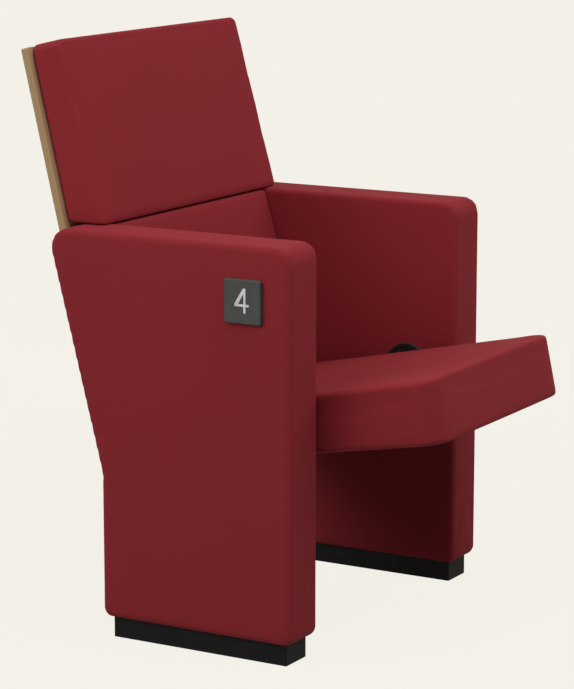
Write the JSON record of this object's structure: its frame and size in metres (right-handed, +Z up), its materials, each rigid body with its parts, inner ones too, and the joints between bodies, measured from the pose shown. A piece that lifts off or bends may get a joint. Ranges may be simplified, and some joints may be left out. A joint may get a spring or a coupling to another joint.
{
  "type": "tip-up auditorium seat",
  "caption": "Tip-up auditorium seat: upholstered side panels with padded arms on floor channels, a seat that tips up on pivot pins, and a cushioned back on a plywood board.",
  "frame": {"origin": "on the floor, at the centre of the four floor anchor holes", "axes": "+Z up, the seat faces -Y, +X is the sitter's left, and the row plate is on the -X side"},
  "size_m": [0.6434, 0.7168, 0.9378],
  "materials": {
    "upholstery_cloth": "matte woven wool-blend cloth, deep red",
    "underside_cloth": "thin black lining cloth",
    "foam": "open-cell cushion foam, hidden by the cloth",
    "inner_ply": "raw birch plywood, hidden",
    "back_ply": "clear satin lacquer on light plywood",
    "frame_steel": "black powder coat",
    "black_steel": "matte black powder coat",
    "zinc_steel": "zinc plated",
    "black_screws": "black oxide",
    "bright_steel": "turned steel",
    "housing_plastic": "black moulded nylon",
    "bush_plastic": "natural acetal",
    "buffer_rubber": "moulded rubber",
    "clip_plastic": "natural nylon",
    "plate_plastic": "dark grey-green, satin",
    "numeral_plastic": "off-white"
  },
  "bodies": {
    "stand": {"backboard": "back_ply", "cushion_nuts": "zinc_steel", "cushion_screws": "zinc_steel", "left_back_bracket": "frame_steel", "left_bracket_bolts": "zinc_steel", "left_bracket_nuts": "zinc_steel", "left_floor_channel": "black_steel", "left_foot_screws": "black_screws", "left_hinge_housing": "housing_plastic", "left_housing_screws": "black_screws", "left_inner_board": "inner_ply", "left_outer_board": "inner_ply", "left_pivot_bush": "bush_plastic", "left_return_spring": "bright_steel", "left_side_cover": "upholstery_cloth", "left_side_foam": "foam", "left_side_frame": "frame_steel", "left_stop_buffers": "buffer_rubber", "lower_back_backing": "inner_ply", "lower_back_cover": "upholstery_cloth", "lower_back_foam": "foam", "right_back_bracket": "frame_steel", "right_bracket_bolts": "zinc_steel", "right_bracket_nuts": "zinc_steel", "right_floor_channel": "black_steel", "right_foot_screws": "black_screws", "right_hinge_housing": "housing_plastic", "right_housing_screws": "black_screws", "right_inner_board": "inner_ply", "right_outer_board": "inner_ply", "right_pivot_bush": "bush_plastic", "right_return_spring": "bright_steel", "right_side_cover": "upholstery_cloth", "right_side_foam": "foam", "right_side_frame": "frame_steel", "right_stop_buffers": "buffer_rubber", "row_numeral": "numeral_plastic", "row_plate_base": "plate_plastic", "row_plate_face": "plate_plastic", "row_plate_screws": "zinc_steel", "upper_back_backing": "inner_ply", "upper_back_cover": "upholstery_cloth", "upper_back_foam": "foam"},
    "seat": {"seat_cover": "upholstery_cloth", "seat_foam": "foam", "seat_board": "inner_ply", "seat_board_screws": "zinc_steel", "seat_frame": "frame_steel", "underside_board": "inner_ply", "underside_cover": "underside_cloth", "underside_clips": "clip_plastic", "left_pivot_pin": "bright_steel", "left_pin_lock": "bright_steel", "left_stop_lever": "bright_steel", "left_pin_nut": "zinc_steel", "right_pivot_pin": "bright_steel", "right_pin_lock": "bright_steel", "right_stop_lever": "bright_steel", "right_pin_nut": "zinc_steel"}
  },
  "joints": [
    {"name": "seat_tip", "type": "hinge", "parent": "stand", "child": "seat", "pos_m": [0, -0.082, 0.369], "axis": [-1, 0, 0], "range_deg": [0, 70], "deforming": ["left_return_spring", "right_return_spring"]}
  ]
}
